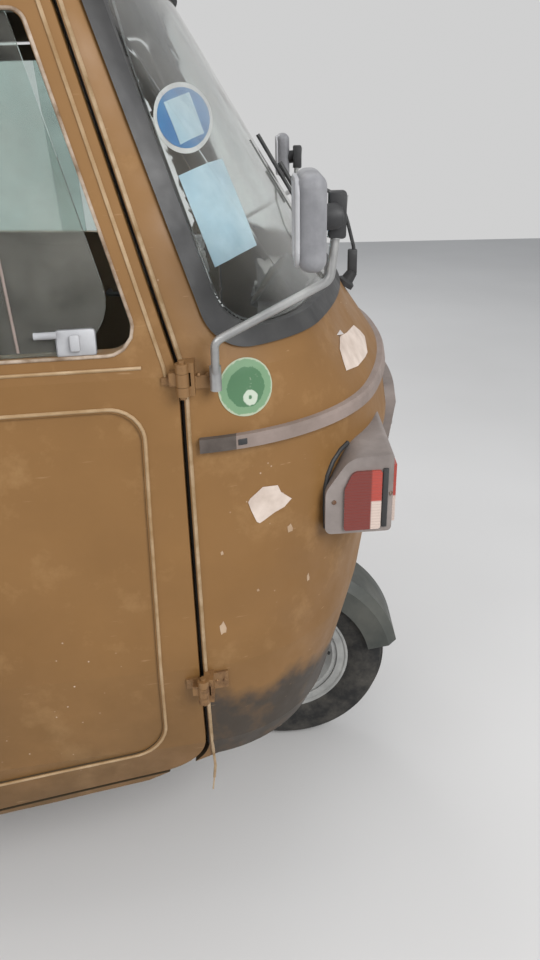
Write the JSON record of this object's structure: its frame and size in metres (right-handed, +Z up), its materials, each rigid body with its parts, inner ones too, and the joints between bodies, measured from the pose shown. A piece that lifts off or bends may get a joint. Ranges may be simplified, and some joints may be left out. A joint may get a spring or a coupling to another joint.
{
  "type": "cargo auto rickshaw",
  "caption": "Three-wheeled light cargo vehicle with a closed cab, hinged doors, steered front wheel and an open dropside bed with a folding tailgate.",
  "frame": {"origin": "bottom centre of the bounding box, on the ground", "axes": "+X forward, +Y to the vehicle's left, +Z up"},
  "size_m": [2.5, 1.26, 1.6],
  "materials": {
    "black_plastic": "matt black plastic",
    "black_rubber": "matt black moulded rubber",
    "chassis_black": "dusty black chassis paint",
    "engine_alloy": "cast alloy, oily",
    "glass": "clear safety glass",
    "grey_plastic": "weathered dark grey plastic",
    "guard_paint": "dark green-grey mudguard paint",
    "lamp_glass": "fluted headlamp glass",
    "paint": "worn ochre body enamel",
    "red_lens": "ribbed red and clear lamp lens",
    "rim_paint": "grey wheel enamel",
    "rusty_steel": "steel with surface rust",
    "seat_vinyl": "black vinyl seat cover",
    "trim_grey": "light grey moulded trim",
    "tyre": "dusty black tyre rubber",
    "zinc": "dull zinc-plated steel"
  },
  "bodies": {
    "root": {"bed_floor": "paint", "bed_walls": "paint", "cab_back": "paint", "cab_floor": "paint", "cab_nose": "paint", "cab_roof": "paint", "chassis": "chassis_black", "corner_lamp_housings": "grey_plastic", "corner_lamp_lenses": "red_lens", "dashboard": "black_plastic", "engine": "engine_alloy", "exhaust": "rusty_steel", "front_arch": "paint", "half_shafts": "rusty_steel", "headlamp_bezel": "grey_plastic", "headlamp_lens": "lamp_glass", "hinge_lugs": "rusty_steel", "mirror_arms": "zinc", "mirror_heads": "grey_plastic", "rear_arms": "chassis_black", "rear_dampers": "zinc", "rear_mudguards": "guard_paint", "rear_window": "glass", "screen_gasket": "black_rubber", "seat_back": "seat_vinyl", "seat_base": "paint", "seat_cushion": "seat_vinyl", "strip_end_caps": "black_rubber", "tail_lamps": "red_lens", "trim_strip": "trim_grey", "windscreen": "glass"},
    "door_right": {"door_right": "paint", "door_panes_right": "glass", "hinge_knuckles_right": "rusty_steel", "door_handle_right": "zinc"},
    "door_left": {"door_left": "paint", "door_panes_left": "glass", "hinge_knuckles_left": "rusty_steel", "door_handle_left": "zinc"},
    "tailgate": {"tailgate": "paint"},
    "steering": {"fork": "chassis_black", "front_mudguard": "guard_paint", "handlebar": "zinc"},
    "front_wheel": {"front_wheel_tyre": "tyre", "front_wheel_rim": "rim_paint"},
    "rear_right_wheel": {"rear_right_wheel_tyre": "tyre", "rear_right_wheel_rim": "rim_paint"},
    "rear_left_wheel": {"rear_left_wheel_tyre": "tyre", "rear_left_wheel_rim": "rim_paint"}
  },
  "joints": [
    {"name": "steer", "type": "hinge", "parent": "root", "child": "steering", "pos_m": [0.99525, 0, 0.215], "axis": [-0.1564, 0, 0.9877], "range_deg": [-38, 38]},
    {"name": "front_wheel_spin", "type": "hinge", "parent": "steering", "child": "front_wheel", "pos_m": [1.01524, 0, 0.215], "axis": [0, 1, 0], "continuous": true},
    {"name": "rear_right_wheel_spin", "type": "hinge", "parent": "root", "child": "rear_right_wheel", "pos_m": [-0.57476, -0.53, 0.215], "axis": [0, 1, 0], "continuous": true},
    {"name": "rear_left_wheel_spin", "type": "hinge", "parent": "root", "child": "rear_left_wheel", "pos_m": [-0.57476, 0.53, 0.215], "axis": [0, 1, 0], "continuous": true},
    {"name": "door_right_swing", "type": "hinge", "parent": "root", "child": "door_right", "pos_m": [0.88924, -0.519, 0.5], "axis": [0, 0, 1], "range_deg": [0, 68]},
    {"name": "door_left_swing", "type": "hinge", "parent": "root", "child": "door_left", "pos_m": [0.88924, 0.519, 0.5], "axis": [0, 0, -1], "range_deg": [0, 68]},
    {"name": "tailgate_drop", "type": "hinge", "parent": "root", "child": "tailgate", "pos_m": [-1.241, 0, 0.594], "axis": [0, -1, 0], "range_deg": [0, 90]}
  ]
}
